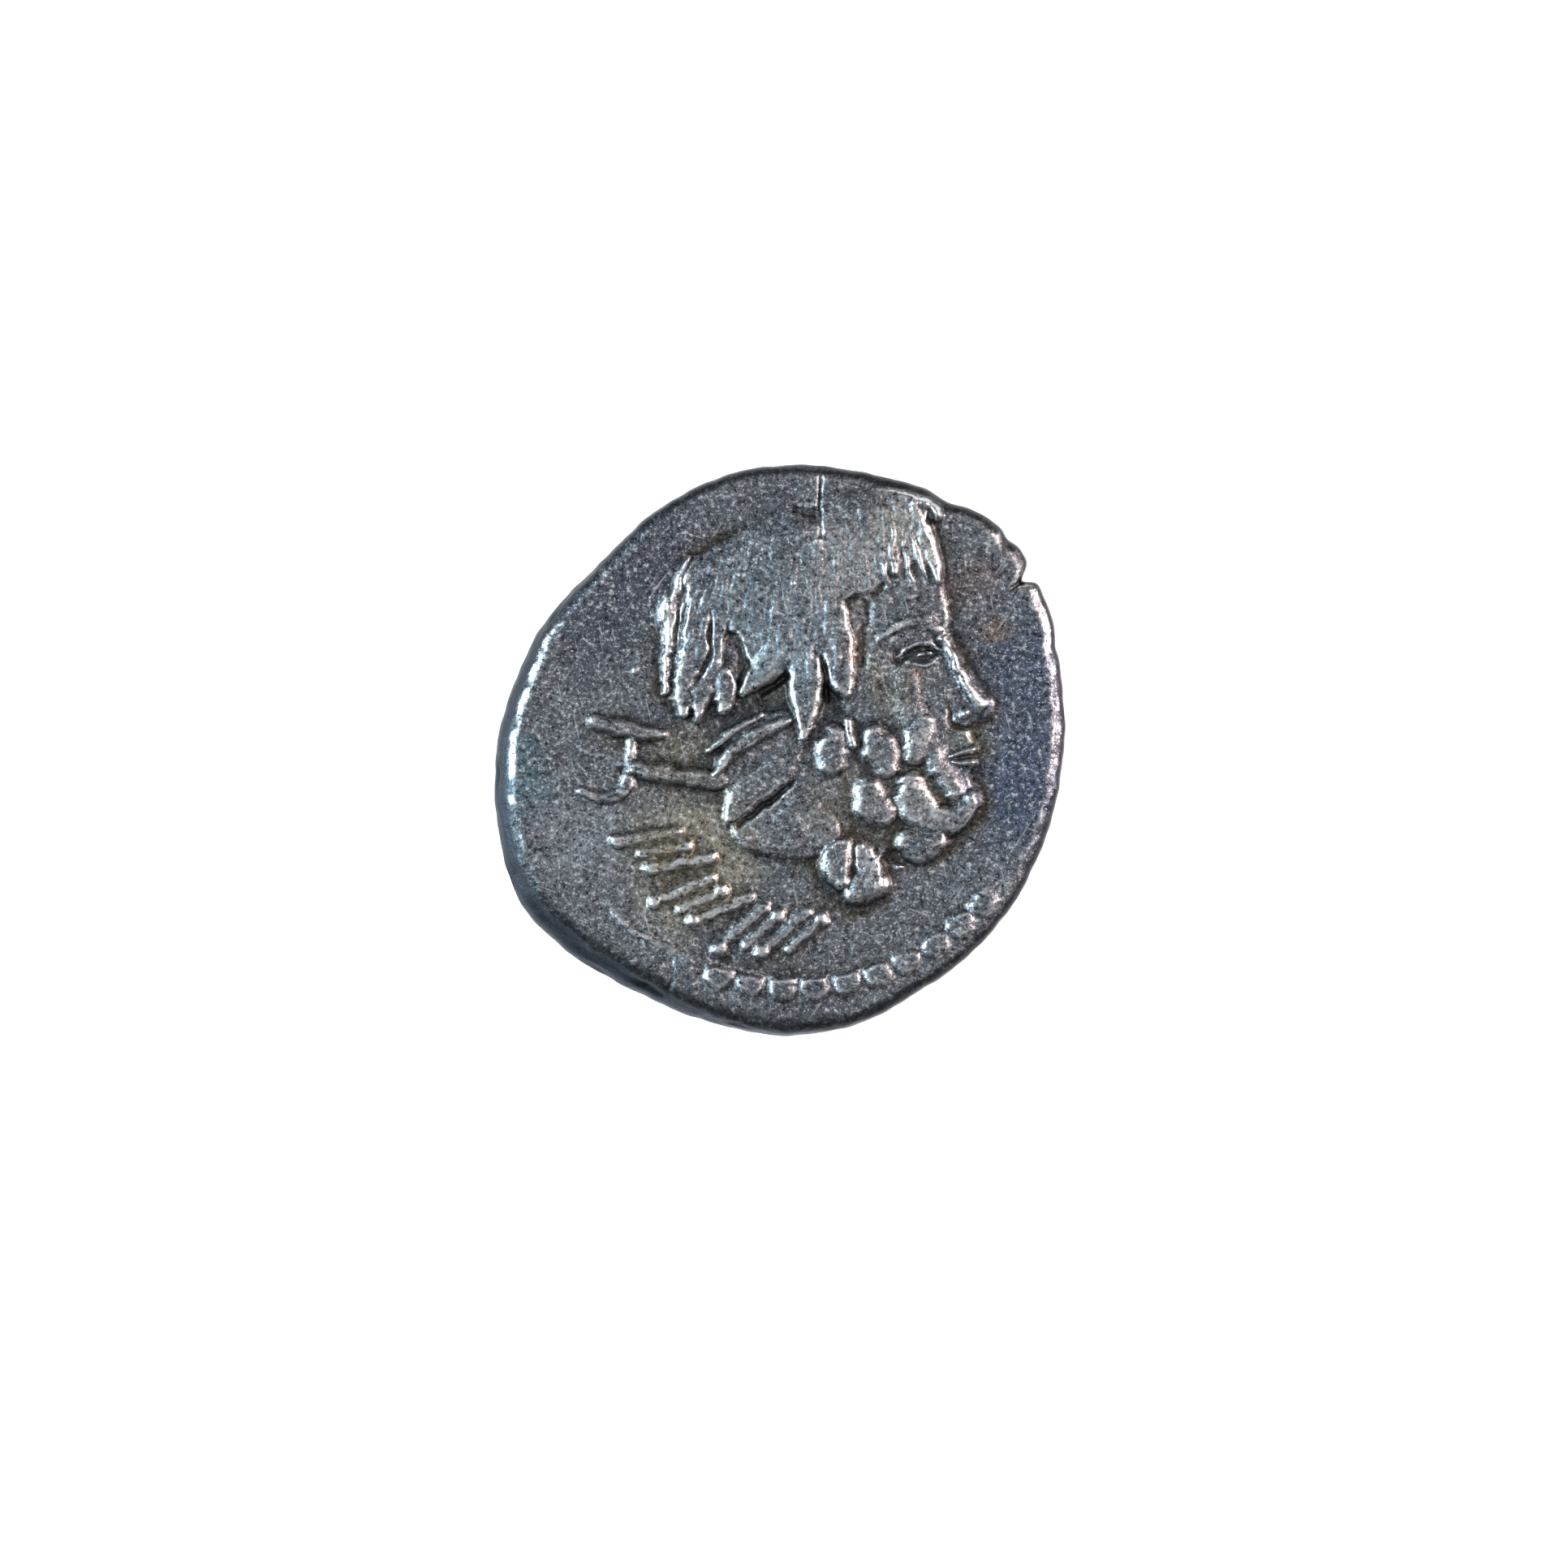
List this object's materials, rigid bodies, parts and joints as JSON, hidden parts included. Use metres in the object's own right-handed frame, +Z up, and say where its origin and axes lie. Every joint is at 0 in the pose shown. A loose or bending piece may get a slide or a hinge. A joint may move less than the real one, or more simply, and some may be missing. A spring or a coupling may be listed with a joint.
{
  "type": "quinarius coin",
  "caption": "Small hammered silver coin with a bearded head in profile, a trident, beads and worn strokes above, and a plain wreath below.",
  "frame": {"origin": "centre of the coin's outline at the plane that it lies on", "axes": "+Z up, out of the portrait side; +Y towards the top of the portrait; +X the way the head faces"},
  "size_m": [0.015, 0.015, 0.0015],
  "materials": {
    "toned_silver": "satin"
  },
  "bodies": {
    "root": {"coin": "toned_silver"}
  },
  "joints": []
}
